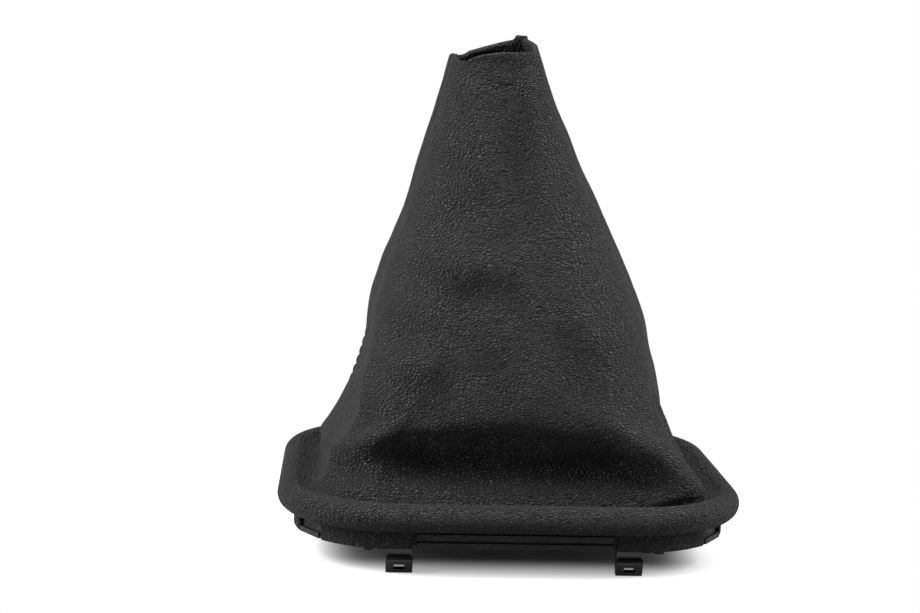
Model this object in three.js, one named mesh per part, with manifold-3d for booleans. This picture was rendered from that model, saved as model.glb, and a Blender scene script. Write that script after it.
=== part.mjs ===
// Gear lever gaiter: a leather tent on a moulded frame that snaps into a console with four clips.
// Millimetres, Z up, front towards -Y, the clip tips on z = 0 and the frame centred on the axis.
import * as THREE from "three";
import { mergeVertices } from "three/addons/utils/BufferGeometryUtils.js";
import Module from "manifold-3d";

const wasm = await Module();
wasm.setup();

// Driving sizes
const rimWidth = 152; // outside of the leather roll at the front
const rimDepth = 135.6;
const rimTaper = 0.062; // share of the width lost at the rear
const rimCorner = 39; // outside corner radius of the roll
const rollTop = 23.1; // top of the leather roll above the clip tips
const flapBottom = 8; // underside of the turned-under leather
const leather = 1.1;
const clearance = 0.3; // between touching pieces
const beadRadius = 3.1; // rounded bead of the frame inside the leather roll
const skirtInset = 2.4; // bead centre line to the outer face of the skirt
const wallThickness = 2; // frame skirt and foot
const footReach = 8.1; // skirt face to the inner edge of the foot
const flapReach = 7; // skirt face to the cut edge of the flap under the foot
const valleyInset = 8; // bead centre line to the bottom of the valley behind the roll
const mouthHeight = 159.5; // front right of the mouth above the clip tips
const mouthDip = 2.5; // how far the mouth drops at its front left corner
const hemDepth = 10; // leather turned in at the mouth
const seamAllowance = 5; // leather turned in along each seam
const stitchPitch = 3.6;
const threadRadius = 0.35;
const stitchFromSeam = 3;
const pegRadius = 1.2;
const clipWidth = 8.3;
const clipSpread = 72.4; // left clip to right clip
const clipDepth = 5;
const clipSetback = 9; // outside of the roll to the middle of a clip
const pegFromClip = 5.5; // side of a clip to the nearest peg
const railProud = 0.9; // bare rails of the frame between the front clips and in the corner windows
const windowWidth = 14; // opening in the flap at each corner

// Sizes that follow from them
const rollRadius = beadRadius + clearance + leather;
const beadZ = rollTop - rollRadius;
const footBottom = flapBottom + leather + clearance;
const footTop = footBottom + wallThickness;
const skirtLeather = skirtInset - clearance - leather; // bead centre line to the leather on the skirt
const valleyZ = rollTop - 2.3;
const cornerSoft = rimCorner - rollRadius;
const cornerShare = 0.3; // share of each side's columns that belongs to half a corner
const halfDepth = rimDepth / 2 - rollRadius;
const halfFront = rimWidth / 2 - rollRadius;
const halfRear = (rimWidth / 2) * (1 - rimTaper) - rollRadius;
const clipY = rimDepth / 2 - clipSetback;

// Corners always run rear left, front left, front right, rear right.
const beadCorners = [
  new THREE.Vector3(-halfRear, halfDepth, beadZ),
  new THREE.Vector3(-halfFront, -halfDepth, beadZ),
  new THREE.Vector3(halfFront, -halfDepth, beadZ),
  new THREE.Vector3(halfRear, halfDepth, beadZ),
];

// Point on a rounded four-cornered loop. w is 0 to 4, whole numbers are the middles of the corners.
function loopPoint(corners, soft, bows, w, flatness = 2) {
  const turn = ((w % 4) + 4) % 4;
  const k = Math.floor(turn);
  const f = turn - k;
  const [a, b, c, d] = [3, 4, 5, 6].map((n) => corners[(k + n) % 4]);
  const flat = (p, q) => new THREE.Vector2(q.x - p.x, q.y - p.y).normalize();
  const [before, along, after] = [flat(a, b), flat(b, c), flat(c, d)];
  const p = new THREE.Vector2();
  if (f < cornerShare) {
    p.copy(bend(b, before, along, soft[k], 0.5 + (0.5 * f) / cornerShare));
  } else if (f > 1 - cornerShare) {
    p.copy(bend(c, along, after, soft[(k + 1) % 4], (0.5 * (f - 1 + cornerShare)) / cornerShare));
  } else {
    const u = (f - cornerShare) / (1 - 2 * cornerShare);
    const start = new THREE.Vector2(b.x, b.y).addScaledVector(along, soft[k]);
    const end = new THREE.Vector2(c.x, c.y).addScaledVector(along, -soft[(k + 1) % 4]);
    const bulge = bows[k] * (1 - Math.abs(2 * u - 1) ** flatness) ** 2;
    p.copy(start.lerp(end, u)).addScaledVector(new THREE.Vector2(along.y, -along.x), bulge);
  }
  const rise = THREE.MathUtils.smoothstep(f, 0, 1);
  return new THREE.Vector3(p.x, p.y, THREE.MathUtils.lerp(b.z, c.z, rise));
}

// Quarter-round bend at a corner, reaching the given distance along both sides.
function bend(corner, into, outOf, reach, t) {
  const at = (way, s) => new THREE.Vector2(corner.x, corner.y).addScaledVector(way, s);
  const handle = reach * (1 - 0.5523);
  return new THREE.CubicBezierCurve(
    at(into, -reach), at(into, -handle), at(outOf, handle), at(outOf, reach),
  ).getPoint(t);
}

// Outward direction in plan at w for a loop function.
function outward(loop, w) {
  const step = loop(w + 0.004).sub(loop(w - 0.004));
  return new THREE.Vector3(step.y, -step.x, 0).normalize();
}

const beadLoop = (w) => loopPoint(beadCorners, Array(4).fill(cornerSoft), [0, 0, 0, 0], w);

// Point at an offset from the bead centre line, outwards, and at a height.
function rimPoint(w, offset, z) {
  const p = beadLoop(w).addScaledVector(outward(beadLoop, w), offset);
  return p.setZ(z);
}

// Corner ridges of the tent, from the valley behind the roll up to the mouth.
// The ridges are given for a rim 152 by 135.6 and a mouth 138.7 above the valley.
const wide = rimWidth / 152;
const deep = rimDepth / 135.6;
const tall = (mouthHeight - valleyZ) / 138.7;
const valleyCorner = (k) => {
  const out = valleyInset / halfDepth;
  return new THREE.Vector3(
    beadCorners[k].x * (1 - out * (halfDepth / halfFront)), beadCorners[k].y * (1 - out), valleyZ,
  );
};
const ridge = (k, points) =>
  new THREE.CatmullRomCurve3(
    [valleyCorner(k), ...points.map(([x, y, up]) =>
      new THREE.Vector3(x * wide, y * deep, valleyZ + up * tall))],
    false, "catmullrom", 0.5,
  );
const ridges = [
  ridge(0, [[-60.5, 53.5, 4], [-57, 49, 10], [-51, 45, 22], [-46, 41, 39], [-42.5, 36, 59],
    [-33.5, 29, 86], [-25, 20, 115], [-19.5, 13, 134.6]]),
  ridge(1, [[-64, -54, 5], [-60, -50, 10], [-53, -46.5, 19.5], [-49, -43.5, 37], [-45, -38.5, 59],
    [-35.5, -28, 87], [-27.5, -17.5, 115], [-22.6, -10, 137.4]]),
  ridge(2, [[65, -55.5, 4], [59, -54, 9.5], [51, -51, 16.5], [45, -46.5, 33], [39.5, -41, 56],
    [26.5, -30.5, 87], [14, -20, 115], [7.7, -11, 138.7]]),
  ridge(3, [[60, 54, 4], [58, 50, 10], [55, 46, 22], [51, 42, 39], [44.5, 37, 59],
    [28.5, 29, 89], [15.5, 20.5, 117], [4.5, 14, 142.2]]),
];
// How far each corner is rounded and how far each face bulges, from the valley up to the mouth.
const rounding = [
  [cornerSoft - valleyInset, 15, 12, 8, 7, 7, 6, 6, 5],
  [cornerSoft - valleyInset, 13, 9, 9, 13, 16, 14, 11, 7],
  [cornerSoft - valleyInset, 12, 8, 6, 8, 12, 10, 6, 4],
  [cornerSoft - valleyInset, 16, 14, 12, 12, 12, 10, 8, 5],
];
const bulging = [
  [0, -2, -2.5, -2, -1, 0, 1, 1.5, 1],
  [0, -1.5, -7, 1.5, 4, 4.5, 4.5, 3, 1],
  [0, -2, -1, 1, 2, 2, 2, 1.5, 1],
  [0, -2, 0, 3, 4, 4, 3, 2, 1.5],
];
const alongCurve = (values, h) =>
  new THREE.SplineCurve(values.map((v, n) => new THREE.Vector2(n, v))).getPoint(h).y;

// Folds pressed into or out of the tent: place around, drift with height, width, depth, low, high.
const folds = [
  [0.93, 0, 0.1, -1.6, 0.27, 0.52],
  [0.6, -0.1, 0.12, -1.4, 0.1, 0.4],
  [2.3, 0.05, 0.05, -1.5, 0.08, 0.42],
  [2.5, 0.1, 0.06, -1.3, 0.04, 0.34],
  [0.35, 0.1, 0.16, 1.2, 0.5, 0.75],
  [3.5, 0.1, 0.15, 1.2, 0.2, 0.6],
];
function foldDepth(w, h) {
  return folds.reduce((sum, [place, drift, width, depth, low, high]) => {
    const u = (h - low) / (high - low);
    if (u <= 0 || u >= 1) return sum;
    const off = (w - place - drift * (h - low)) / width;
    return sum + depth * Math.exp(-off * off) * Math.sin(Math.PI * u) ** 2;
  }, 0);
}

// One level of the tent wall, h from 0 in the valley to 1 at the mouth.
function wallLoop(h) {
  const corners = ridges.map((r) => r.getPoint(h));
  const soft = rounding.map((v) => alongCurve(v, h));
  const bows = bulging.map((v) => alongCurve(v, h));
  const flatness = 8 - 6 * THREE.MathUtils.smoothstep(h, 0.25, 0.5);
  const loop = (w) => loopPoint(corners, soft, bows, w, flatness);
  return (w) => {
    const turn = ((w % 4) + 4) % 4;
    const p = loop(w).addScaledVector(outward(loop, w), foldDepth(turn, h));
    p.z -= mouthDip * Math.exp(-(((turn - 1) / 0.25) ** 2)) * THREE.MathUtils.smoothstep(h, 0.9, 1);
    return p;
  };
}

// The leather's outer surface row by row, from the cut edge under the foot to the mouth.
function leatherRows() {
  const rows = [];
  const rim = (offset, z) => rows.push({ at: (w) => rimPoint(w, offset, z), thick: leather });
  const round = 1.3;
  const edge = skirtLeather + 0.001;
  rim(-skirtInset - flapReach, flapBottom);
  rim(-skirtInset - flapReach / 2, flapBottom);
  for (let n = 0; n <= 3; n++) {
    const a = -Math.PI / 2 + (n / 3) * (Math.PI / 2);
    rim(-edge - round + round * Math.cos(a), flapBottom + round + round * Math.sin(a));
  }
  const start = Math.asin(-edge / rollRadius) - Math.PI / 2;
  const end = (128 * Math.PI) / 180;
  for (let n = 0; n <= 11; n++) {
    const a = start + ((end - start) * n) / 11;
    rim(rollRadius * Math.cos(a), beadZ + rollRadius * Math.sin(a));
  }
  rim(-valleyInset * 0.66, valleyZ + 0.35);
  const hemStart = 1 - hemDepth / ((mouthHeight - valleyZ) * 0.17 * 8);
  const levels = [0, 0.05, 0.1, 0.15, 0.2, 0.25, 0.31, 0.375, 0.44, 0.5, 0.57, 0.64, 0.71, 0.78, 0.85,
    hemStart - 0.004, hemStart, (1 + hemStart) / 2, 1];
  for (const h of levels) {
    rows.push({ at: wallLoop(h), h, thick: h >= hemStart ? 2 * leather + 0.1 : leather });
  }
  return rows;
}

const rows = leatherRows();

// The leather's outward normal at a row and w, from its neighbours.
function leatherNormal(n, w) {
  const around = rows[n].at(w + 0.01).sub(rows[n].at(w - 0.01));
  const here = rows[n].at(w);
  const up = new THREE.Vector3();
  for (const [m, sign] of [[n - 1, -1], [n + 1, 1]]) {
    if (rows[m]) up.add(rows[m].at(w).sub(here).normalize().multiplyScalar(sign));
  }
  return around.cross(up).normalize();
}

// Columns of a panel from w = from to w = to, closer together in the corners.
function columnsOf(from, to) {
  const columns = [];
  for (let side = from; side < to; side++) {
    for (let n = 0; n < 4; n++) columns.push(side + (cornerShare * n) / 4);
    for (let n = 0; n < 8; n++) columns.push(side + cornerShare + ((1 - 2 * cornerShare) * n) / 8);
    for (let n = 0; n < 4; n++) columns.push(side + 1 - cornerShare + (cornerShare * n) / 4);
  }
  return [...columns, to];
}

// A closed leather panel: outer skin, inner skin, and seam edges turned inwards at both ends.
function leatherPanel(from, to) {
  const columns = columnsOf(from, to);
  const skins = rows.map((row, n) => {
    const line = columns.map((w) => {
      const out = leatherNormal(n, w);
      const p = row.at(w);
      return [p, p.clone().addScaledVector(out, -row.thick)];
    });
    for (const [w, side] of [[from, 1], [to, -1]]) {
      const own = row.at(w + 0.01).sub(row.at(w - 0.01)).normalize().multiplyScalar(side);
      const inwards = leatherNormal(n, w).negate();
      const seam = row.at(w).addScaledVector(own, clearance / 2);
      const share = row.h === undefined ? 0
        : THREE.MathUtils.smoothstep(row.h, 0.08, 0.2) * (1 - THREE.MathUtils.smoothstep(row.h, 0.8, 0.9));
      const reach = row.thick + 0.15 + seamAllowance * share;
      const tip = seam.clone().addScaledVector(inwards, reach);
      const inner = seam.clone().addScaledVector(inwards, row.thick).addScaledVector(own, leather);
      const turned = [tip, tip.clone().addScaledVector(own, leather)];
      if (side > 0) {
        line[0] = [seam, inner];
        line.unshift(turned);
      } else {
        line[line.length - 1] = [seam, inner];
        line.push(turned);
      }
    }
    return line;
  });
  return roundedSheet(skins);
}

// Closes a grid of outer and inner points into one body with a rounded top edge.
function roundedSheet(skins) {
  const last = skins[skins.length - 1];
  const tops = [0.15, 0.5, 0.85].map((t) => last.map(([o, i]) => {
    const lift = (o.distanceTo(i) / 2) * Math.sin(Math.PI * t) ** 0.8;
    return o.clone().lerp(i, t).add(new THREE.Vector3(0, 0, lift));
  }));
  const loops = [
    ...skins.map((line) => line.map((pair) => pair[0])),
    ...tops,
    ...skins.slice().reverse().map((line) => line.map((pair) => pair[1])),
  ];
  return closedLoft(loops);
}

// Skins a list of open lines that close on themselves from last to first, and caps both sides.
function closedLoft(loops) {
  const across = loops[0].length;
  const count = loops.length;
  const position = loops.flat().flatMap((p) => [p.x, p.y, p.z]);
  const index = [];
  const at = (n, k) => (n % count) * across + k;
  for (let n = 0; n < count; n++) {
    for (let k = 0; k + 1 < across; k++) {
      index.push(at(n, k), at(n, k + 1), at(n + 1, k), at(n + 1, k), at(n, k + 1), at(n + 1, k + 1));
    }
  }
  const half = (count - 3) / 2;
  for (const [k, flip] of [[0, false], [across - 1, true]]) {
    const cap = (a, b, c) => index.push(...(flip ? [c, b, a] : [a, b, c]));
    for (let n = 0; n + 1 < half; n++) {
      const [o, p] = [at(n, k), at(n + 1, k)];
      const [i, j] = [at(count - 1 - n, k), at(count - 2 - n, k)];
      cap(o, p, i);
      cap(i, p, j);
    }
    const rim = [half - 1, half, half + 1, half + 2, half + 3].map((n) => at(n, k));
    for (let n = 1; n + 1 < rim.length; n++) cap(rim[0], rim[n], rim[n + 1]);
  }
  const g = new THREE.BufferGeometry();
  g.setAttribute("position", new THREE.Float32BufferAttribute(position, 3));
  g.setIndex(index);
  return g;
}

// three.js geometry to a manifold-3d solid and back.
function solid(geometry, ...moves) {
  const g = geometry.clone();
  moves.forEach((m) => g.applyMatrix4(m));
  g.deleteAttribute("normal");
  g.deleteAttribute("uv");
  const merged = mergeVertices(g, 1e-4);
  return new wasm.Manifold(new wasm.Mesh({
    numProp: 3,
    vertProperties: new Float32Array(merged.attributes.position.array),
    triVerts: new Uint32Array(merged.index.array),
  }));
}
function geometryOf(body) {
  const m = body.getMesh();
  const g = new THREE.BufferGeometry();
  g.setAttribute("position", new THREE.BufferAttribute(m.vertProperties.slice(), 3));
  g.setIndex(new THREE.BufferAttribute(m.triVerts.slice(), 1));
  return g;
}
const move = (x, y, z) => new THREE.Matrix4().makeTranslation(x, y, z);
const turnZ = (angle) => new THREE.Matrix4().makeRotationZ(angle);
const box = (x0, x1, y0, y1, z0, z1) =>
  solid(new THREE.BoxGeometry(x1 - x0, y1 - y0, z1 - z0), move((x0 + x1) / 2, (y0 + y1) / 2, (z0 + z1) / 2));

// Places of the corner windows, the clips and the pegs that hold the flap.
const windows = [0, 0.91, 2.09, 3];
const footMiddle = -skirtInset - footReach / 2;
const clips = [["front_left_clip", -1, -1], ["front_right_clip", 1, -1],
  ["rear_left_clip", -1, 1], ["rear_right_clip", 1, 1]]
  .map(([name, sx, sy]) => ({ name, x: (sx * clipSpread) / 2, y: sy * clipY, sy }));
const pegX = clipSpread / 2 + clipWidth / 2 + pegFromClip;
const pegY = halfDepth + footMiddle;
const pegs = [
  ...[0.36, 0.5, 0.64, 2.36, 2.5, 2.64, 3.5].map((w) => rimPoint(w, footMiddle, flapBottom)),
  ...clips.map((c) => new THREE.Vector3(Math.sign(c.x) * pegX, c.sy * pegY, flapBottom)),
];

// Cutters that open the flap at the front slot, the clips, the corners and the pegs.
function flapCutters() {
  const low = flapBottom - leather;
  const high = beadZ - rollRadius - clearance;
  const slot = clipSpread / 2 - clipWidth / 2;
  const out = rimDepth / 2;
  const behindSkirt = halfDepth - skirtInset - 2 * clearance;
  const footEnd = halfDepth - skirtInset - footReach - leather;
  const cutters = [box(-slot, slot, -out, -footEnd, low, high)];
  for (const c of clips) {
    const half = clipWidth / 2 + clearance;
    const [y0, y1] = c.sy < 0 ? [-behindSkirt, -footEnd] : [footEnd, behindSkirt];
    cutters.push(box(c.x - half, c.x + half, y0, y1, low, footBottom));
  }
  const windowMiddle = -(skirtInset + footReach) / 2;
  for (const w of windows) {
    cutters.push(facing(w, windowMiddle, skirtInset + footReach + 5 * leather, windowWidth, low, high));
  }
  for (const p of pegs) {
    const hole = new THREE.CylinderGeometry(pegRadius + clearance, pegRadius + clearance, 4 * leather, 12);
    cutters.push(solid(hole, new THREE.Matrix4().makeRotationX(Math.PI / 2), move(p.x, p.y, flapBottom)));
  }
  return cutters;
}

// Block turned to face outwards at w: middle offset, depth, width, low and high.
function facing(w, offset, deep, wide, z0, z1) {
  const p = rimPoint(w, offset, (z0 + z1) / 2);
  const way = outward(beadLoop, w);
  return solid(new THREE.BoxGeometry(deep, wide, z1 - z0),
    turnZ(Math.atan2(way.y, way.x)), move(p.x, p.y, p.z));
}

function panelNode(from, to) {
  return flapCutters().reduce((body, cutter) => body.subtract(cutter), solid(leatherPanel(from, to)));
}

// The moulded ring: bead, skirt and foot, swept round the rim.
function frameRing() {
  const profile = [[-skirtInset, footBottom]];
  const start = -Math.PI + Math.asin(Math.sqrt(1 - (skirtInset / beadRadius) ** 2));
  const end = (150 * Math.PI) / 180;
  for (let n = 0; n <= 9; n++) {
    const a = start + ((end - start) * n) / 9;
    profile.push([beadRadius * Math.cos(a), beadZ + beadRadius * Math.sin(a)]);
  }
  const inner = -skirtInset - wallThickness;
  profile.push([inner, beadZ], [inner, footTop], [-skirtInset - footReach, footTop],
    [-skirtInset - footReach, footBottom]);
  const columns = columnsOf(0, 4).slice(0, -1);
  const position = columns.flatMap((w) => profile.flatMap(([o, z]) => rimPoint(w, o, z).toArray()));
  const index = [];
  const n = profile.length;
  columns.forEach((_, c) => {
    const next = (c + 1) % columns.length;
    for (let k = 0; k < n; k++) {
      const [a, b] = [c * n + k, c * n + ((k + 1) % n)];
      const [d, e] = [next * n + k, next * n + ((k + 1) % n)];
      index.push(a, d, b, b, d, e);
    }
  });
  const g = new THREE.BufferGeometry();
  g.setAttribute("position", new THREE.Float32BufferAttribute(position, 3));
  g.setIndex(index);
  return solid(g);
}

// Ring with hem pegs, bare front rails and a pocket over each clip.
function frameNode() {
  let body = frameRing();
  for (const p of pegs) {
    const shank = new THREE.LatheGeometry([
      [0, footBottom + 0.5], [pegRadius, footBottom + 0.5], [pegRadius, flapBottom - clearance],
      [pegRadius + 0.7, flapBottom - clearance], [pegRadius + 0.4, flapBottom - 1.1], [0, flapBottom - 1.3],
    ].reverse().map(([r, z]) => new THREE.Vector2(r, z)), 12);
    body = body.add(solid(shank, new THREE.Matrix4().makeRotationX(Math.PI / 2),
      move(p.x, p.y, 0)));
  }
  const face = -halfDepth + skirtInset;
  const railEnd = clipSpread / 2 - clipWidth / 2 - clearance - 0.7;
  for (const [z0, z1] of [[footBottom - 0.8, footBottom + 0.9], [footBottom + 1.7, footBottom + 3.6]]) {
    body = body.add(box(-railEnd, railEnd, face - railProud, face + 0.5, z0, z1));
  }
  for (const w of windows) {
    body = body.add(facing(w, -skirtInset - 0.3, 2 * (railProud + 0.3), windowWidth - 2.5,
      footBottom - 0.8, footBottom + 0.9));
  }
  for (const c of clips) body = body.subtract(clipStem(c, clearance));
  return body;
}

// Upright tongue of a clip that sits in its pocket in the foot.
function clipStem(c, grow) {
  const half = clipWidth / 2 - 1.4 + grow;
  const deep = clipDepth / 2 - 1.3 + grow;
  return box(c.x - half, c.x + half, c.y - deep, c.y + deep, footBottom - 1 - grow, footTop - 0.6 + grow);
}

// Snap clip: cheeks beside a recess, a nose bar, a sloping lead-in with a window, a rounded tip.
function clipNode(c) {
  const shoulder = footBottom - clearance;
  const half = clipDepth / 2;
  const side = new THREE.Shape();
  side.moveTo(-half, shoulder);
  side.lineTo(-half, 1.2);
  side.quadraticCurveTo(-half, 0, -half + 1.2, 0);
  side.lineTo(half - 2.4, 0);
  side.quadraticCurveTo(half - 1.7, 0, half - 1.5, 0.7);
  side.lineTo(half, shoulder * 0.42);
  side.quadraticCurveTo(half + 0.4, shoulder * 0.5, half, shoulder * 0.57);
  side.lineTo(half - 1, shoulder * 0.64);
  side.lineTo(half - 1, shoulder);
  side.closePath();
  const block = new THREE.ExtrudeGeometry(side, { depth: clipWidth, bevelEnabled: false, curveSegments: 5 });
  const place = new THREE.Matrix4().makeBasis(
    new THREE.Vector3(0, c.sy, 0), new THREE.Vector3(0, 0, 1), new THREE.Vector3(c.sy, 0, 0),
  ).setPosition(c.x - (c.sy * clipWidth) / 2, c.y, 0);
  const front = (s0, s1) => [Math.min(c.y + c.sy * s0, c.y + c.sy * s1), Math.max(c.y + c.sy * s0, c.y + c.sy * s1)];
  const cheek = clipWidth / 2 - 0.6;
  const [r0, r1] = front(0.6, half + 2);
  const [w0, w1] = front(-half - 2, half + 2);
  return solid(block, place)
    .add(clipStem(c, 0))
    .subtract(box(c.x - cheek, c.x + cheek, r0, r1, shoulder * 0.63, shoulder - 0.8))
    .subtract(box(c.x - 1.75, c.x + 1.75, w0, w1, 1.3, 3));
}

// Topstitch along a seam: one thread that rises over each stitch and dips between them.
function threadNode(seamAt, side) {
  const along = [];
  const wall = rows.filter((row) => row.h > 0.08 && row.h < 0.93);
  for (const row of wall) {
    const seam = row.at(seamAt);
    let w = seamAt;
    for (let n = 0; n < 60 && row.at(w).distanceTo(seam) < stitchFromSeam; n++) w += side * 0.005;
    along.push({ p: row.at(w), out: leatherNormal(rows.indexOf(row), w) });
  }
  const base = new THREE.CatmullRomCurve3(along.map((a) => a.p));
  const normals = new THREE.CatmullRomCurve3(along.map((a) => a.out));
  const stitches = Math.round(base.getLength() / stitchPitch);
  const points = [];
  for (let n = 0; n <= stitches * 3; n++) {
    const t = n / (stitches * 3);
    const phase = n % 3 === 0 ? 0 : 1;
    points.push(base.getPoint(t).addScaledVector(
      normals.getPoint(t).normalize(), clearance + threadRadius + 0.1 + 0.25 * phase));
  }
  const path = new THREE.CatmullRomCurve3(points, false, "catmullrom", 0.3);
  const tube = new THREE.TubeGeometry(path, stitches * 3, threadRadius, 5, false);
  return solid(cappedTube(tube, stitches * 3, 5, path));
}

// Closes both ends of a tube with a small cone to its centre line.
function cappedTube(tube, rings, sides, path) {
  const position = [...tube.attributes.position.array];
  const index = [...tube.index.array];
  const count = position.length / 3;
  position.push(...path.getPoint(0).toArray(), ...path.getPoint(1).toArray());
  for (let k = 0; k < sides; k++) {
    index.push(count, k, k + 1);
    const end = rings * (sides + 1);
    index.push(count + 1, end + k + 1, end + k);
  }
  const g = new THREE.BufferGeometry();
  g.setAttribute("position", new THREE.Float32BufferAttribute(position, 3));
  g.setIndex(index);
  return g;
}

const materials = {
  leather: { color: 0x1d1d1f, roughness: 0.55 },
  frame: { color: 0x17171a, roughness: 0.6 },
  clip: { color: 0x0c0c0e, roughness: 0.2 },
  thread: { color: 0x1a1a1c, roughness: 0.7 },
};
const part = new THREE.Group();
function add(name, body, material) {
  const mesh = new THREE.Mesh(geometryOf(body), new THREE.MeshStandardMaterial(materials[material]));
  mesh.name = name;
  part.add(mesh);
}
add("frame", frameNode(), "frame");
add("front_panel", panelNode(0, 3), "leather");
add("rear_panel", panelNode(3, 4), "leather");
add("left_seam_thread", threadNode(0, 1), "thread");
add("right_seam_thread", threadNode(3, -1), "thread");
for (const c of clips) add(c.name, clipNode(c), "clip");

export default part;
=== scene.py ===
"""Gear lever gaiter: pebbled leather tent on a moulded frame with snap clips, on a white floor."""

import math

import bmesh
import bpy
import numpy as np
from mathutils import Matrix, Vector, noise


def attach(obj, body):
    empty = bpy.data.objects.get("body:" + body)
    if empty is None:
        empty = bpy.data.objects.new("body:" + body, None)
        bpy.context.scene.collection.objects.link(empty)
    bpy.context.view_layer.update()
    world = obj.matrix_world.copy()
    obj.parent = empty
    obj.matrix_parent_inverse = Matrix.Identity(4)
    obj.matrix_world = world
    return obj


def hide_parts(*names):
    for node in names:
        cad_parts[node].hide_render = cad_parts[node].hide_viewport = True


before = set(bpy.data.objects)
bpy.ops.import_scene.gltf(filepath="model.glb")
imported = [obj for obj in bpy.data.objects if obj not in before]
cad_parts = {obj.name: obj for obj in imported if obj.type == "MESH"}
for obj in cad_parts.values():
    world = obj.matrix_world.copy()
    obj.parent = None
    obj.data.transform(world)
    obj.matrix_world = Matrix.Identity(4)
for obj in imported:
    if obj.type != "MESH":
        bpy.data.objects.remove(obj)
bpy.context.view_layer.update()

MM = 0.001

# Sizes in millimetres, the same as in the part's source.
RIM_WIDTH, RIM_DEPTH, RIM_TAPER, RIM_CORNER = 152, 135.6, 0.062, 39
ROLL_TOP, FLAP_BOTTOM, LEATHER, CLEARANCE = 23.1, 8, 1.1, 0.3
BEAD_RADIUS, SKIRT_INSET, FLAP_REACH, VALLEY_INSET = 3.1, 2.4, 7, 8
MOUTH_HEIGHT, MOUTH_DIP, HEM_DEPTH, SEAM_ALLOWANCE = 159.5, 2.5, 10, 5
CLIP_WIDTH, CLIP_SPREAD, WINDOW_WIDTH = 8.3, 72.4, 14
ROLL_RADIUS = BEAD_RADIUS + CLEARANCE + LEATHER
BEAD_Z = ROLL_TOP - ROLL_RADIUS
SKIRT_LEATHER = SKIRT_INSET - CLEARANCE - LEATHER
VALLEY_Z = ROLL_TOP - 2.3
RIDGE_HEIGHT = 138.7
CORNER_SOFT = RIM_CORNER - ROLL_RADIUS
CORNER_SHARE, BULGE_POWER = 0.3, 1.4
HALF_DEPTH = RIM_DEPTH / 2 - ROLL_RADIUS
HALF_FRONT = RIM_WIDTH / 2 - ROLL_RADIUS
HALF_REAR = RIM_WIDTH / 2 * (1 - RIM_TAPER) - ROLL_RADIUS
COLUMN_SPACING, SEAM_COLUMNS, SEAM_CURL = 1.45, 7, 0.55
STITCH_PITCH, STITCH_LENGTH, STITCH_WIDTH, STITCH_LIFT = 3.6, 2.8, 0.3, 0.12
STITCH_FROM_SEAM, STITCH_LOW, STITCH_HIGH = 3.0, 0.08, 0.93

# The leather as cut, in metres: each panel's width, and the least length from hem to flap.
FRONT_WIDTH, REAR_WIDTH, LEAST_LENGTH = 0.43, 0.155, 0.205
AREA_SHARE = 0.98

# The corners run rear left, front left, front right, rear right.
BEAD_CORNERS = np.array(
    [
        [-HALF_REAR, HALF_DEPTH, BEAD_Z],
        [-HALF_FRONT, -HALF_DEPTH, BEAD_Z],
        [HALF_FRONT, -HALF_DEPTH, BEAD_Z],
        [HALF_REAR, HALF_DEPTH, BEAD_Z],
    ]
)


def unit(v):
    return v / np.maximum(np.linalg.norm(v, axis=-1, keepdims=True), 1e-12)


def run_along(points):
    """Length along a line of points, at each of them."""
    return np.concatenate([[0], np.cumsum(np.linalg.norm(np.diff(points, axis=0), axis=1))])


def add_piece(bm, name, smooth=True):
    """Turns a bmesh into an object of the scene."""
    mesh = bpy.data.meshes.new(name)
    bm.to_mesh(mesh)
    bm.free()
    for p in mesh.polygons:
        p.use_smooth = smooth
    piece = bpy.data.objects.new(name, mesh)
    bpy.context.scene.collection.objects.link(piece)
    return piece


def smoothstep(x, low, high):
    t = np.clip((x - low) / (high - low), 0, 1)
    return t * t * (3 - 2 * t)


def bend(corner, into, out_of, reach, t):
    """Quarter-round bend at a corner, reaching the same distance along both sides."""
    handle = reach * (1 - 0.5523)
    a, b = corner - into * reach, corner - into * handle
    c, d = corner + out_of * handle, corner + out_of * reach
    t = t[:, None]
    return a * (1 - t) ** 3 + 3 * b * t * (1 - t) ** 2 + 3 * c * t * t * (1 - t) + d * t**3


def loop_points(corners, soft, bows, w, flatness=2):
    """Points of a rounded four-cornered loop; whole numbers of w are the middles of the corners."""
    turn = np.mod(w, 4)
    points = np.zeros((len(w), 3))
    for k in range(4):
        here = np.floor(turn).astype(int) % 4 == k
        if not here.any():
            continue
        f = turn[here] - k
        a, b, c, d = (corners[(k + n) % 4] for n in (3, 4, 5, 6))
        before, along, after = (unit((q - p)[:2]) for p, q in ((a, b), (b, c), (c, d)))
        u = np.clip((f - CORNER_SHARE) / (1 - 2 * CORNER_SHARE), 0, 1)
        start = b[:2] + along * soft[k]
        end = c[:2] - along * soft[(k + 1) % 4]
        out = np.array([along[1], -along[0]])
        bulge = bows[k] * (1 - np.abs(2 * u - 1) ** flatness) ** BULGE_POWER
        flat = start + (end - start) * u[:, None] + out * bulge[:, None]
        leaving = 0.5 + 0.5 * np.clip(f / CORNER_SHARE, 0, 1)
        nearing = 0.5 * np.clip((f - 1 + CORNER_SHARE) / CORNER_SHARE, 0, 1)
        first = bend(b[:2], before, along, soft[k], leaving)
        last = bend(c[:2], along, after, soft[(k + 1) % 4], nearing)
        flat = np.where((f < CORNER_SHARE)[:, None], first, flat)
        flat = np.where((f > 1 - CORNER_SHARE)[:, None], last, flat)
        rise = f * f * (3 - 2 * f)
        points[here, :2] = flat
        points[here, 2] = b[2] + (c[2] - b[2]) * rise
    return points


def outward(loop, w):
    step = loop(w + 0.004) - loop(w - 0.004)
    return unit(np.stack([step[:, 1], -step[:, 0], np.zeros(len(w))], -1))


def bead_loop(w):
    return loop_points(BEAD_CORNERS, [CORNER_SOFT] * 4, [0] * 4, w)


def rim_points(w, offset, z):
    p = bead_loop(w) + outward(bead_loop, w) * offset
    p[:, 2] = z
    return p


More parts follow.
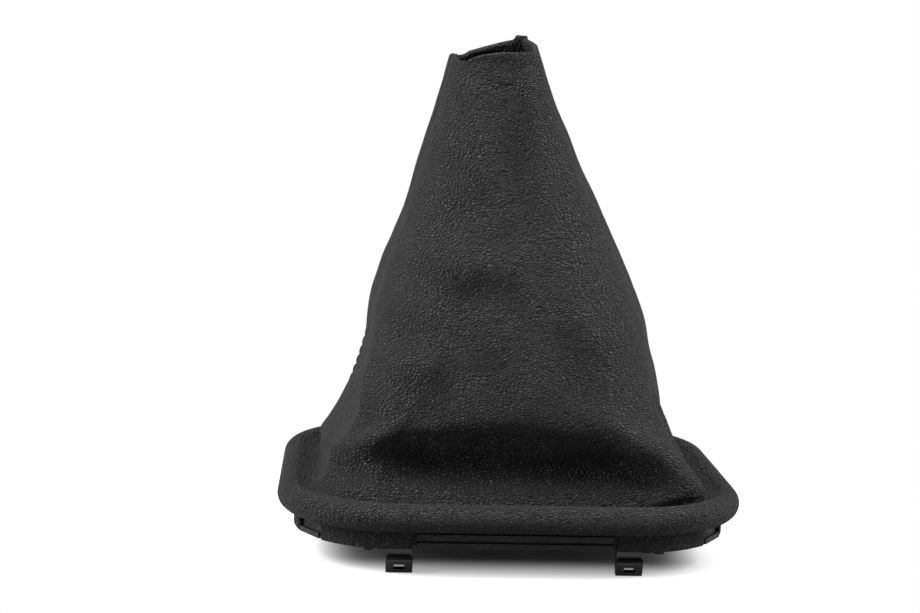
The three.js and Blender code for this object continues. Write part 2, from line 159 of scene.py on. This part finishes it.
def catmull(points, h, open_ends):
    """Point of a Catmull-Rom curve at h. Open ends run straight on past the last points."""
    points = np.asarray(points, float)
    if points.ndim == 1:
        points = points[:, None]
    last = len(points) - 1
    at = np.clip(h, 0, 1) * last
    n = min(int(at), last - 1)
    t = at - n
    p1, p2 = points[n], points[n + 1]
    p0 = points[n - 1] if n else (2 * p1 - p2 if open_ends else p1)
    p3 = points[n + 2] if n + 2 <= last else (2 * p2 - p1 if open_ends else p2)
    v0, v1 = (p2 - p0) / 2, (p3 - p1) / 2
    return (
        (2 * p1 - 2 * p2 + v0 + v1) * t**3 + (-3 * p1 + 3 * p2 - 2 * v0 - v1) * t**2 + v0 * t + p1
    )


def ridge(k, points):
    inwards = VALLEY_INSET / HALF_DEPTH
    tall = (MOUTH_HEIGHT - VALLEY_Z) / RIDGE_HEIGHT
    foot = [
        BEAD_CORNERS[k, 0] * (1 - inwards * HALF_DEPTH / HALF_FRONT),
        BEAD_CORNERS[k, 1] * (1 - inwards),
        0,
    ]
    line = np.array([foot, *points], float)
    line[:, 2] = VALLEY_Z + line[:, 2] * tall
    return line


# The corner lines of the tent, from just above the valley to the mouth.
RIDGES = [
    ridge(0, [(-60.5, 53.5, 4), (-57, 49, 10), (-51, 45, 22), (-46, 41, 39), (-42.5, 36, 59),
              (-33.5, 29, 86), (-25, 20, 115), (-19.5, 13, 135.3)]),
    ridge(1, [(-60, -51.5, 4), (-57.5, -48, 9.5), (-52, -46, 18.5), (-47.5, -45, 30),
              (-45, -39.5, 56), (-35.5, -28, 87), (-27.5, -17.5, 115), (-22.6, -10, 137.4)]),
    ridge(2, [(62.5, -54, 3.5), (58, -53, 9), (50, -51, 17), (44.5, -48, 29), (40, -42, 55),
              (27, -30.5, 87), (14.5, -20, 115), (7.9, -11, 138.7)]),
    ridge(3, [(60, 54, 4), (58, 50, 10), (55, 46, 22), (51, 42, 39), (44.5, 37, 59),
              (28.5, 29, 89), (15.5, 20.5, 117), (4.5, 14, 142.2)]),
]
VALLEY_SOFT = CORNER_SOFT - VALLEY_INSET
# Each corner's reach of rounding, and how far each face bulges, from the valley to the mouth.
ROUNDING = [
    [VALLEY_SOFT, 15, 12, 8, 7, 8, 7, 6, 5],
    [VALLEY_SOFT, 17, 15, 14, 18, 26, 26, 18, 10],
    [VALLEY_SOFT, 15, 11, 10, 17, 26, 22, 13, 6],
    [VALLEY_SOFT, 16, 14, 12, 14, 16, 12, 8, 5],
]
BULGING = [
    [0, 0, 1.5, 0, -1, 0, 1, 1.5, 1],
    [0, -1, -7, -2, 4.5, 1.5, 0.5, 0, 0],
    [0, -1, -1, 0.5, 1, 2, 2, 1.5, 1],
    [0, -2, 0, 3, 3, 2, 1, 1, 1],
]
# Broad folds: place around, drift with height, width, height of the fold, low end, high end.
FOLDS = [
    (0.93, 0, 0.1, -1.6, 0.27, 0.52),
    (0.6, -0.1, 0.12, -1.4, 0.1, 0.4),
    (2.3, 0.05, 0.05, -1.5, 0.08, 0.42),
    (2.5, 0.1, 0.06, -1.3, 0.04, 0.34),
    (0.35, 0.1, 0.16, 1.2, 0.5, 0.75),
    (3.5, 0.1, 0.15, 1.2, 0.2, 0.6),
]


def fold_depth(w, h):
    """Height of the broad folds over the wall, in millimetres."""
    total = np.zeros(len(w))
    for place, drift, width, depth, low, high in FOLDS:
        u = (h - low) / (high - low)
        if 0 < u < 1:
            off = (np.mod(w, 4) - place - drift * (h - low)) / width
            total += depth * np.exp(-off * off) * math.sin(math.pi * u) ** 2
    return total


def wall_points(w, h):
    """Points of the tent's outside at the height h, from 0 in the valley to 1 at the mouth."""
    corners = np.array([catmull(r, h, True) for r in RIDGES])
    soft = [float(catmull(r, h, False)[0]) for r in ROUNDING]
    bows = [float(catmull(b, h, False)[0]) for b in BULGING]
    flatness = 5 - 3 * smoothstep(h, 0.25, 0.5)

    def loop(x):
        return loop_points(corners, soft, bows, x, flatness)

    p = loop(w) + outward(loop, w) * fold_depth(w, h)[:, None]
    p[:, 2] -= MOUTH_DIP * np.exp(-(((np.mod(w, 4) - 1) / 0.25) ** 2)) * smoothstep(h, 0.9, 1)
    return p


def leather_rows():
    """Row makers from the cut edge under the foot to the hem's edge inside the mouth."""
    rows = []

    def rim(kind, offset, z):
        rows.append((kind, lambda w, o=offset, z=z: rim_points(w, o, z)))

    edge, rounded = SKIRT_LEATHER, 1.3
    for n in range(5):
        rim("under", -SKIRT_INSET - FLAP_REACH + n * 1.55, FLAP_BOTTOM)
    for n in range(5):
        a = -math.pi / 2 + n / 4 * math.pi / 2
        rim(
            "under" if n < 2 else "skirt",
            -edge - rounded + rounded * math.cos(a),
            FLAP_BOTTOM + rounded + rounded * math.sin(a),
        )
    for z in (10.6, 12.0, 13.2):
        rim("skirt", -edge, z)
    start = math.asin(-edge / ROLL_RADIUS) - math.pi / 2
    end = math.radians(128)
    for n in range(23):
        a = start + (end - start) * n / 22
        rim("roll", ROLL_RADIUS * math.cos(a), BEAD_Z + ROLL_RADIUS * math.sin(a))
    rim("roll", -VALLEY_INSET * 0.5, VALLEY_Z + 0.8)
    rim("roll", -VALLEY_INSET * 0.66, VALLEY_Z + 0.35)
    rim("roll", -VALLEY_INSET * 0.84, VALLEY_Z + 0.05)
    for h in np.concatenate([np.linspace(0, 0.3, 34), np.linspace(0.3, 1, 62)[1:]]):
        rows.append(("wall", lambda w, h=h: wall_points(w, h)))
    fold = LEATHER + 0.1

    def hem_turn(w, a):
        return top_inset(w, 1, fold * (1 - math.cos(a))) + [0, 0, fold * math.sin(a)]

    for n in range(1, 6):
        rows.append(("hem", lambda w, a=math.pi * n / 5: hem_turn(w, a)))
    step = HEM_DEPTH / (MOUTH_HEIGHT - VALLEY_Z) * 0.74
    for n in range(1, 8):
        rows.append(("hem", lambda w, h=1 - step * n / 7: top_inset(w, h, 2 * fold)))
    return rows


def top_inset(w, h, inset):
    p = wall_points(w, h)
    return p - outward(lambda x: wall_points(x, h), w) * inset


def front_w(x):
    """Place around the front face of the rim where the leather is at x."""
    grid = np.linspace(1, 2, 4001)
    return float(np.interp(x, bead_loop(grid)[:, 0], grid))


def arc_w(w, length):
    """Place around the rim at a length in millimetres along the bead from w."""
    sign = 1 if length > 0 else -1
    grid = w + sign * np.linspace(0, 0.6, 2001)
    return float(np.interp(abs(length), run_along(bead_loop(grid)), grid))


WINDOWS = [0, 0.91, 2.09, 3]
SLOT_X = CLIP_SPREAD / 2 - CLIP_WIDTH / 2
CLIP_HOLE = (SLOT_X - CLEARANCE, CLIP_SPREAD / 2 + CLIP_WIDTH / 2 + CLEARANCE)


def notches():
    """Openings in the flap as (from, to, kinds of row that are cut away)."""
    both = ("under", "skirt")
    cut = [(front_w(-SLOT_X), front_w(SLOT_X), both)]
    for lo, hi in (CLIP_HOLE, (-CLIP_HOLE[1], -CLIP_HOLE[0])):
        cut.append((front_w(lo), front_w(hi), ("under",)))
        cut.append((5 - front_w(hi), 5 - front_w(lo), ("under",)))
    for w in WINDOWS:
        cut.append((arc_w(w, -WINDOW_WIDTH / 2), arc_w(w, WINDOW_WIDTH / 2), both))
    return cut


def columns(start, end, spacing, fixed):
    """Places from start to end with even steps, with each fixed place among them."""
    stops = sorted({start, end, *[w for w in fixed if start + 0.003 < w < end - 0.003]})
    places = []
    for a, b in zip(stops, stops[1:]):
        grid = np.linspace(a, b, 60)
        run = run_along(bead_loop(grid))
        n = max(1, round(run[-1] / spacing))
        places += list(np.interp(np.linspace(0, run[-1], n + 1)[:-1], run, grid))
    return np.array(places + [end])


def row_grid(rows, w):
    return np.array([make(w) for _, make in rows])


def grid_normals(grid):
    across = np.gradient(grid, axis=1)
    up = np.gradient(grid, axis=0)
    return unit(np.cross(across, up))


# Narrow folds: the side, a line of points in millimetres, which are (x, z) on the front and rear
# and (y, z) on the sides, then the width and the height, negative where the leather dips.
STROKES = [
    ("left", [(-54, 46), (-48, 41), (-40, 36), (-28, 31)], 4, 3.2),
    ("front", [(24, 50), (36, 42), (46, 36.5), (56, 30)], 4.2, 2.6),
    ("front", [(26, 37), (40, 32.5), (52, 28.5)], 4.2, -2.4),
    ("front", [(-52, 47), (-46, 52), (-36, 50)], 5, 1.2),
    ("front", [(-30, 35), (-44, 32.5), (-54, 29.5), (-60, 27)], 5, -2.6),
    ("front", [(-16, 155.5), (-6, 154), (3, 155.5)], 3.6, -1.7),
    ("front", [(0.3, 157.2), (3.9, 148.5), (6.1, 136.2), (8.5, 114.9)], 2.6, 1),
    ("front", [(-4.5, 153), (0.4, 139.1), (1.8, 114.8), (-4.5, 90.6)], 7, -1.6),
    ("front", [(-29.1, 128.6), (-22.7, 123.9), (-16.3, 118)], 3.2, -1.2),
    ("front", [(-25.2, 106.7), (-15.7, 110.8), (-6.1, 114.6)], 6, -1.4),
    ("front", [(-40.2, 93.4), (-31.3, 90), (-20.3, 86.7), (-12.4, 84.5)], 3.4, -1.8),
    ("front", [(-20.4, 95.6), (-9.3, 93.5), (1.8, 96.1)], 5, 1.6),
    ("front", [(-21.9, 82.8), (-12.4, 86.8), (-3, 84.7), (6.5, 75.9)], 3.6, -1.2),
    ("front", [(-43.8, 77.3), (-36.8, 73.1), (-28.6, 69)], 4, -1.9),
    ("front", [(-41.9, 62), (-27.8, 63.5), (-16.9, 69.2)], 6, 1.6),
    ("front", [(-49, 73.5), (-47.5, 60.9), (-46.2, 47.4)], 3, 1.6),
    ("front", [(-12.8, 68.7), (-5.7, 60.2), (-2.2, 47.6)], 6, -1.4),
    ("front", [(12.8, 76), (20.9, 65.4), (25.9, 54.5)], 6, -1.2),
    ("right", [(-30, 54.8), (-30, 42), (-32, 29)], 2.2, -1),
    ("right", [(-24, 56), (-25, 42), (-29, 28)], 2.5, 0.9),
    ("left", [(-20, 74), (-8, 60), (8, 46), (26, 36)], 4, -1.2),
    ("left", [(-30, 60), (-22, 48), (-12, 38)], 3.5, 1),
    ("left", [(0, 100), (8, 84), (20, 66)], 5, -0.9),
    ("right", [(-5, 110), (2, 88), (12, 66)], 6, -0.8),
    ("right", [(10, 60), (20, 44), (34, 32)], 4.5, 1.2),
    ("rear", [(-20, 90), (-4, 78), (14, 72)], 5, -1.1),
    ("rear", [(18, 108), (6, 92), (-12, 60)], 5, 0.8),
    ("rear", [(-34, 44), (-12, 36), (12, 38), (34, 46)], 4.5, -1.3),
]


def stroke_offsets(points, normals):
    """Height of the strokes over each point, in millimetres."""
    total = np.zeros(points.shape[:2])
    for side, line, width, depth in STROKES:
        axis = 0 if side in ("front", "rear") else 1
        facing = {
            "front": -normals[..., 1],
            "rear": normals[..., 1],
            "left": -normals[..., 0],
            "right": normals[..., 0],
        }[side]
        seen = np.clip((facing - 0.05) / 0.3, 0, 1)
        flat = np.stack([points[..., axis], points[..., 2]], -1)
        line = np.array(line, float)
        best = np.full(points.shape[:2], 1e9)
        near = np.zeros(points.shape[:2])
        count = len(line) - 1
        for n, (a, b) in enumerate(zip(line, line[1:])):
            t = np.clip(((flat - a) @ (b - a)) / ((b - a) @ (b - a)), 0, 1)
            d = np.linalg.norm(flat - a - t[..., None] * (b - a), axis=-1)
            near = np.where(d < best, (n + t) / count, near)
            best = np.minimum(best, d)
        fade = np.sin(np.pi * np.clip(near * 0.9 + 0.05, 0, 1)) ** 0.6
        total += depth * np.exp(-((best / width) ** 2)) * fade * seen
    return total


def leather_panel(name, start, end):
    """One panel with its folds and its turned-in seam edges."""
    rows = leather_rows()
    cuts = notches()
    fixed = [x for a, b, _ in cuts for x in (a, b)]
    fixed += [x + 4 for x in fixed] + [x - 4 for x in fixed]
    w = columns(start, end, COLUMN_SPACING, fixed)
    grid = row_grid(rows, w)
    normals = grid_normals(grid)
    wall = np.array([k in ("wall", "hem") for k, _ in rows], float)[:, None]
    sculpt = stroke_offsets(grid, normals) * wall
    for i, line in enumerate(grid):
        for j, p in enumerate(line):
            v = Vector(p)
            sculpt[i, j] += wall[i, 0] * (0.55 * noise.noise(v / 22) + 0.22 * noise.noise(v / 8.5))
    level = np.linspace(0, 1, int(wall.sum()))
    sculpt[wall[:, 0] > 0] *= np.clip(level * 9, 0, 1)[:, None]
    grid = grid + normals * sculpt[..., None]
    # The seam edges turn inwards.
    pad = SEAM_COLUMNS
    full = np.zeros((grid.shape[0], grid.shape[1] + 2 * pad, 3))
    full[:, pad:-pad] = grid
    deep = np.array([SEAM_ALLOWANCE if k == "wall" else 0 for k, _ in rows], float)
    on_wall = np.flatnonzero(deep > 0)
    rise = np.linspace(0, 1, len(on_wall))
    deep[on_wall] *= np.clip((rise - 0.08) / 0.12, 0, 1) * np.clip((0.9 - rise) / 0.1, 0, 1)
    for side, at in ((1, 0), (-1, -1)):
        edge, inner = grid[:, at], grid[:, 1 if side > 0 else -2]
        own = unit(inner - edge)
        inwards = -normals[:, at]
        seam = edge + own * CLEARANCE / 2
        curl = SEAM_CURL
        line = []
        for n in range(4):
            a = n / 3 * math.pi / 2
            line.append(seam + own * curl * (1 - math.sin(a)) + inwards * curl * (1 - math.cos(a)))
        for n in range(1, 5):
            line.append(seam + inwards * (curl + (0.2 + deep[:, None]) * n / 4))
        if side > 0:
            full[:, : pad + 1] = np.stack(line[::-1], 1)
        else:
            full[:, -pad - 1 :] = np.stack(line, 1)
    return sheet_piece(name, full, rows, w, cuts, pad)


def sheet_piece(name, full, rows, w, cuts, pad):
    """Bends a flat grid into the leather's form, cuts the notches and gives it its thickness."""
    count_rows, count_columns = full.shape[:2]
    bm = bmesh.new()
    verts = bmesh.ops.create_grid(
        bm, x_segments=count_columns - 1, y_segments=count_rows - 1, size=0.5
    )["verts"]
    co = np.array([v.co[:] for v in verts])
    columns_of = np.round((co[:, 0] + 0.5) * (count_columns - 1)).astype(int)
    rows_of = np.round((co[:, 1] + 0.5) * (count_rows - 1)).astype(int)
    for v, i, j in zip(verts, rows_of, columns_of):
        v.co = Vector(full[i, j] * MM)
    place = dict(zip(verts, zip(rows_of, columns_of)))
    kinds = [k for k, _ in rows]
    wide = np.concatenate([np.full(pad, w[0]), w, np.full(pad, w[-1])])
    gone = []
    for f in bm.faces:
        i = min(place[v][0] for v in f.verts)
        j = [place[v][1] for v in f.verts]
        middle = (wide[min(j)] + wide[max(j)]) / 2
        for a, b, cut_kinds in cuts:
            inside = any(a < middle + turn < b for turn in (-4, 0, 4))
            if kinds[i] in cut_kinds and inside:
                gone.append(f)
                break
    bmesh.ops.delete(bm, geom=gone, context="FACES")
    bmesh.ops.recalc_face_normals(bm, faces=bm.faces)
    widest = max(bm.faces, key=lambda f: f.calc_center_median().x)
    if widest.normal.x < 0:
        bmesh.ops.reverse_faces(bm, faces=bm.faces)
    flat_area = sum(f.calc_area() for f in bm.faces)
    piece = add_piece(bm, name)
    wall = piece.modifiers.new("thickness", "SOLIDIFY")
    wall.thickness = LEATHER * MM
    wall.offset = -1
    wall.use_even_offset = False
    wall.use_rim = True
    return piece, flat_area


class Value:
    """A number socket that Python's operators can be used on."""

    def __init__(self, paint, socket):
        self.paint, self.socket = paint, socket

    def _with(self, operation, *others):
        values = dict(enumerate([self, *others]))
        return self.paint.add("ShaderNodeMath", {"operation": operation}, values)

    def __add__(self, other):
        return self._with("ADD", other)

    def __sub__(self, other):
        return self._with("SUBTRACT", other)

    def __mul__(self, other):
        return self._with("MULTIPLY", other)

    def __pow__(self, other):
        return self._with("POWER", other)

    def absolute(self):
        return self._with("ABSOLUTE")

    def larger(self, other):
        return self._with("MAXIMUM", other)

    def __rsub__(self, other):
        return self.paint.add("ShaderNodeMath", {"operation": "SUBTRACT"}, {0: other, 1: self})

    __radd__, __rmul__ = __add__, __mul__


class Paint:
    """A material's nodes, added one call at a time."""

    def __init__(self, name, roughness, specular=0.5):
        self.material = bpy.data.materials.new(name)
        self.material.use_nodes = True
        self.tree = self.material.node_tree
        self.shader = self.tree.nodes["Principled BSDF"]
        self.shader.inputs["Roughness"].default_value = roughness
        self.shader.inputs["Specular IOR Level"].default_value = specular
        self.place = self.add("ShaderNodeTexCoord", {}, {}, "Object")

    def add(self, kind, settings, values, out=0):
        node = self.tree.nodes.new(kind)
        for key, value in settings.items():
            if key == "stops":
                ramp = node.color_ramp
                for n, (at, shade) in enumerate(value):
                    stop = ramp.elements[n] if n < 2 else ramp.elements.new(at)
                    stop.position, stop.color = at, (shade, shade, shade, 1)
            else:
                setattr(node, key, value)
        for key, value in values.items():
            if isinstance(value, Value):
                self.tree.links.new(value.socket, node.inputs[key])
            else:
                node.inputs[key].default_value = value
        return Value(self, node.outputs[out])

    def feed(self, name, value):
        self.tree.links.new(value.socket, self.shader.inputs[name])

    def blend(self, factor, first, second):
        node = self.tree.nodes.new("ShaderNodeMix")
        node.data_type = "RGBA"
        for socket, value in ((0, factor), (6, first), (7, second)):
            if isinstance(value, Value):
                self.tree.links.new(value.socket, node.inputs[socket])
            else:
                node.inputs[socket].default_value = value
        return Value(self, node.outputs[2])

    def noise(self, scale, detail, rough=0.5):
        return self.add(
            "ShaderNodeTexNoise",
            {},
            {"Vector": self.place, "Scale": scale, "Detail": detail, "Roughness": rough},
        )

    def bump(self, height, strength, distance):
        values = {"Height": height, "Strength": strength, "Distance": distance}
        return self.add("ShaderNodeBump", {}, values)


def leather_material():
    """Black leather with an embossed grain of long rounded pebbles in wavy rows."""
    p = Paint("pebbled_leather", 0.55, 0.36)
    slow = p.add(
        "ShaderNodeTexNoise", {}, {"Vector": p.place, "Scale": 90.0, "Detail": 2.0}, "Color"
    )
    waved = p.add(
        "ShaderNodeVectorMath",
        {"operation": "MULTIPLY_ADD"},
        {0: slow, 1: (0.0035, 0.0035, 0.0055), 2: p.place},
    )
    long = p.add(
        "ShaderNodeVectorMath", {"operation": "MULTIPLY"}, {0: waved, 1: (0.8, 0.8, 1.35)}
    )
    spread = p.add(
        "ShaderNodeTexVoronoi",
        {"feature": "DISTANCE_TO_EDGE"},
        {"Vector": long, "Scale": 960.0, "Randomness": 0.85},
        "Distance",
    )
    dome = p.add(
        "ShaderNodeValToRGB", {"stops": [(0.0, 0.0), (0.4, 1.0), (0.18, 0.62)]}, {"Fac": spread}
    )
    fine, broad = p.noise(2400.0, 2.0), p.noise(60.0, 3.0)
    wear = p.noise(24.0, 2.0)
    height = dome * (0.75 + broad * 0.5) + fine * 0.1
    p.feed("Normal", p.bump(height, 1.0, 0.00125))
    p.feed(
        "Base Color",
        p.blend(dome * 0.8 + broad * 0.2, (0.001, 0.001, 0.00105, 1), (0.02, 0.02, 0.0206, 1)),
    )
    p.feed("Roughness", 0.86 - dome * 0.34 + (broad - 0.5) * 0.16 + (wear - 0.5) * 0.12)
    return p.material


def frame_material():
    """Black moulded plastic with uneven gloss, as left by the mould and by handling."""
    p = Paint("moulded_frame", 0.45, 0.34)
    cloud, grain, flow = p.noise(45.0, 3.0), p.noise(1900.0, 3.0, 0.6), p.noise(260.0, 4.0, 0.65)
    p.feed("Base Color", p.blend(cloud, (0.006, 0.006, 0.0065, 1), (0.014, 0.014, 0.015, 1)))
    p.feed("Roughness", 0.22 + cloud * 0.3 + flow * 0.2)
    p.feed("Normal", p.bump(grain * 0.25 + flow, 1.0, 0.0014))
    return p.material


def clip_material():
    """Glossy black plastic with a faint grain."""
    p = Paint("snap_clip", 0.22, 0.6)
    cloud, grain = p.noise(160.0, 3.0), p.noise(900.0, 2.0)
    p.feed("Base Color", p.blend(cloud, (0.008, 0.008, 0.009, 1), (0.016, 0.016, 0.017, 1)))
    p.feed("Roughness", 0.16 + grain * 0.16)
    p.feed("Normal", p.bump(grain, 0.15, 0.0001))
    return p.material


def thread_material():
    """Dark thread with its twist."""
    p = Paint("seam_thread", 0.6, 0.4)
    twist = p.add(
        "ShaderNodeTexWave",
        {"bands_direction": "DIAGONAL"},
        {"Vector": p.place, "Scale": 900.0, "Distortion": 1.0},
        "Fac",
    )
    p.feed("Base Color", p.blend(twist, (0.014, 0.014, 0.015, 1), (0.05, 0.05, 0.052, 1)))
    p.feed("Roughness", 0.5 + twist * 0.2)
    p.feed("Normal", p.bump(twist, 0.5, 0.0001))
    return p.material


LEATHER_MATERIAL = leather_material()
FRAME_MATERIAL = frame_material()
CLIP_MATERIAL = clip_material()
THREAD_MATERIAL = thread_material()


def finish_piece(piece, material, slot, *nodes):
    piece.data.materials.clear()
    piece.data.materials.append(material)
    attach(piece, "root")
    if nodes:
        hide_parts(*nodes)
    return piece


def make_leather():
    front, front_area = leather_panel("front_leather", 0, 3)
    rear, rear_area = leather_panel("rear_leather", 3, 4)
    finish_piece(front, LEATHER_MATERIAL, "leather", "front_panel")
    finish_piece(rear, LEATHER_MATERIAL, "leather", "rear_panel")
    for piece, area, width in ((front, front_area, FRONT_WIDTH), (rear, rear_area, REAR_WIDTH)):
        length = max(LEAST_LENGTH, area / width / AREA_SHARE)


def make_threads():
    """Single stitches beside each rear corner seam."""
    for name, at, side, node in (
        ("left_topstitch", 0, 1, "left_seam_thread"),
        ("right_topstitch", 3, -1, "right_seam_thread"),
    ):
        line, out = [], []
        for h in np.linspace(STITCH_LOW, STITCH_HIGH, 120):
            w = at + side * np.linspace(0, 0.3, 160)
            p = wall_points(w, h)
            run = np.linalg.norm(p - p[0], axis=1)
            k = int(np.argmax(run > STITCH_FROM_SEAM)) or len(w) - 1
            line.append(p[k])
            out.append(outward(lambda x, h=h: wall_points(x, h), w[k : k + 1])[0])
        line, out = np.array(line), np.array(out)
        run = run_along(line)

        def at_length(values, s, run=run):
            return np.array([np.interp(s, run, values[:, c]) for c in range(3)])

        bm = bmesh.new()
        for n in range(int(run[-1] / STITCH_PITCH)):
            s = (n + 0.5) * STITCH_PITCH
            normal = Vector(at_length(out, s)).normalized()
            along = Vector(at_length(line, s + 0.8) - at_length(line, s - 0.8)).normalized()
            cross = normal.cross(along).normalized()
            normal = along.cross(cross).normalized()
            turn = Matrix((cross, normal, along)).transposed().to_4x4()
            centre = Vector(at_length(line, s)) + normal * STITCH_LIFT
            sizes = (STITCH_WIDTH * MM, STITCH_WIDTH * MM, STITCH_LENGTH / 2 * MM, 1)
            shape = Matrix.Translation(centre * MM) @ turn @ Matrix.Diagonal(sizes)
            bmesh.ops.create_uvsphere(bm, u_segments=8, v_segments=8, radius=1, matrix=shape)
        bmesh.ops.recalc_face_normals(bm, faces=bm.faces)
        piece = add_piece(bm, name)
        finish_piece(piece, THREAD_MATERIAL, "thread", node)


def bevelled_copy(node, name, width, steps):
    """A copy of a solid of the part with its sharp edges rounded, width in millimetres."""
    solid = bpy.data.objects[node]
    bm = bmesh.new()
    bm.from_mesh(solid.data)
    bm.transform(solid.matrix_world)
    bmesh.ops.remove_doubles(bm, verts=bm.verts, dist=1e-6)
    bmesh.ops.dissolve_limit(bm, angle_limit=math.radians(4), verts=bm.verts, edges=bm.edges)
    sharp = [e for e in bm.edges if e.is_manifold and e.calc_face_angle(0) > math.radians(40)]
    bmesh.ops.bevel(
        bm,
        geom=sharp,
        offset=width * MM,
        offset_type="OFFSET",
        segments=steps,
        profile=0.5,
        affect="EDGES",
        material=-1,
        clamp_overlap=True,
    )
    bmesh.ops.triangulate(bm, faces=bm.faces)
    piece = add_piece(bm, name)
    piece.data.set_sharp_from_angle(angle=math.radians(35))
    return piece


def make_clips():
    for node in ("front_left_clip", "front_right_clip", "rear_left_clip", "rear_right_clip"):
        piece = bevelled_copy(node, node + "_body", 0.16, 2)
        finish_piece(piece, CLIP_MATERIAL, "clip_plastic", node)


def dress_frame():
    """The frame is the part's own solid, with only its material changed."""
    frame = bpy.data.objects["frame"]
    frame.data.materials.clear()
    frame.data.materials.append(FRAME_MATERIAL)


def floor_material():
    """White paper with a painted shadow: darkest under the part, where its colour and glow are
    lowered on top of the lamps' own shadow, and plain white away from it.
    """
    p = Paint("white_floor_painted_shadow", 1.0)
    tree = p.tree
    tree.nodes.remove(p.shader)
    split = p.add("ShaderNodeSeparateXYZ", {}, {0: p.place}).socket.node.outputs
    x, y = Value(p, split[0]), Value(p, split[1])
    sides = [
        ((axis.absolute() - half).larger(0.0)) ** 2.0 for axis, half in ((x, 0.045), (y, 0.038))
    ]
    away = (sides[0] + sides[1]) ** 0.5
    # near is 0 at the part's footprint and 1 away from it: the mask of the painted shadow under the
    # part.
    near = p.add(
        "ShaderNodeMapRange",
        {"interpolation_type": "SMOOTHERSTEP"},
        {"Value": away, "From Min": 0.0, "From Max": 0.026},
    )
    reach = p.add(
        "ShaderNodeMapRange",
        {"interpolation_type": "SMOOTHSTEP"},
        {"Value": away, "From Min": 0.016, "From Max": 0.08},
    )
    # Painted shadow: the paper's colour is darker under the part.
    painted_shadow_tone = p.blend(near, (0.4, 0.4, 0.4, 1), (0.8, 0.8, 0.8, 1))
    paper = p.add("ShaderNodeBsdfDiffuse", {}, {"Color": painted_shadow_tone})
    grey = p.add("ShaderNodeBsdfDiffuse", {}, {"Color": (0.3, 0.3, 0.3, 1)})
    # Painted shadow: the camera-only glow fades to nothing under the part.
    shadow_masked_glow = p.add("ShaderNodeEmission", {}, {"Strength": near * 0.45})
    lit = p.add("ShaderNodeAddShader", {}, {0: paper, 1: shadow_masked_glow})
    white = p.add("ShaderNodeEmission", {}, {"Strength": 1.0})
    seen = p.add("ShaderNodeMixShader", {}, {0: reach, 1: lit, 2: white})
    path = tree.nodes.new("ShaderNodeLightPath").outputs
    own = Value(p, path["Is Camera Ray"]) + Value(p, path["Is Glossy Ray"]) * 0.12
    last = p.add("ShaderNodeMixShader", {}, {0: own, 1: grey, 2: seen})
    tree.links.new(last.socket, tree.nodes["Material Output"].inputs[0])
    return p.material


def make_stage():
    bm = bmesh.new()
    bmesh.ops.create_grid(bm, x_segments=1, y_segments=1, size=4)
    floor = add_piece(bm, "floor", smooth=False)
    floor.data.materials.append(floor_material())


def make_world():
    """A world that is white to the camera and dim to everything else."""
    world = bpy.data.worlds.new("studio")
    bpy.context.scene.world = world
    world.use_nodes = True
    tree = world.node_tree
    tree.nodes.clear()
    path = tree.nodes.new("ShaderNodeLightPath")
    mix = tree.nodes.new("ShaderNodeMixShader")
    tree.links.new(path.outputs["Is Camera Ray"], mix.inputs[0])
    for socket, strength in ((1, 0.05), (2, 1.0)):
        shade = tree.nodes.new("ShaderNodeBackground")
        shade.inputs["Color"].default_value = (1, 1, 1, 1)
        shade.inputs["Strength"].default_value = strength
        tree.links.new(shade.outputs[0], mix.inputs[socket])
    out = tree.nodes.new("ShaderNodeOutputWorld")
    tree.links.new(mix.outputs[0], out.inputs[0])


def lamp(name, place, size, power):
    """A square soft lamp that points at the middle of the part."""
    target = (0, 0, 0.07)
    data = bpy.data.lights.new(name, "AREA")
    data.shape, data.size, data.energy = "SQUARE", size, power
    o = bpy.data.objects.new(name, data)
    bpy.context.scene.collection.objects.link(o)
    o.location = place
    o.rotation_euler = (Vector(target) - Vector(place)).to_track_quat("-Z", "Y").to_euler()


def make_camera():
    """The camera fitted to the photograph: its turn about the part, then pan, tilt and roll."""
    pixels, picture_width, sensor, away = 2671.4, 920, 36, 900
    rise, turn, roll = math.radians(14), math.radians(-4.815), math.radians(-2.083)
    pan, tilt = math.atan(47.66 / pixels), math.atan(220.1 / pixels)
    level = math.cos(rise)
    back = Vector((math.sin(turn) * level, -math.cos(turn) * level, math.sin(rise)))
    place = back * away
    ahead = -back
    right = ahead.cross(Vector((0, 0, 1))).normalized()
    up = right.cross(ahead)
    spin = Matrix.Rotation(pan, 3, up)
    ahead, right = spin @ ahead, spin @ right
    spin = Matrix.Rotation(tilt, 3, right)
    ahead, up = spin @ ahead, spin @ up
    spin = Matrix.Rotation(roll, 3, ahead)
    right, up = spin @ right, spin @ up
    data = bpy.data.cameras.new("camera")
    data.sensor_width = sensor
    data.lens = pixels * sensor / picture_width
    data.clip_start, data.clip_end = 0.05, 50
    camera = bpy.data.objects.new("camera", data)
    bpy.context.scene.collection.objects.link(camera)
    axes = Matrix((right, up, -ahead)).transposed()
    camera.matrix_world = Matrix.Translation(place * MM) @ axes.to_4x4()
    bpy.context.scene.camera = camera


make_leather()
make_threads()
make_clips()
dress_frame()
make_stage()
make_world()
lamp("top_softbox", (0.0, 0.1, 1.0), 0.9, 14)
lamp("left_softbox", (-0.95, -0.1, 0.55), 0.8, 23)
lamp("right_softbox", (0.95, 0.05, 0.6), 0.9, 17)
make_camera()
bpy.context.scene.view_settings.view_transform = "Standard"
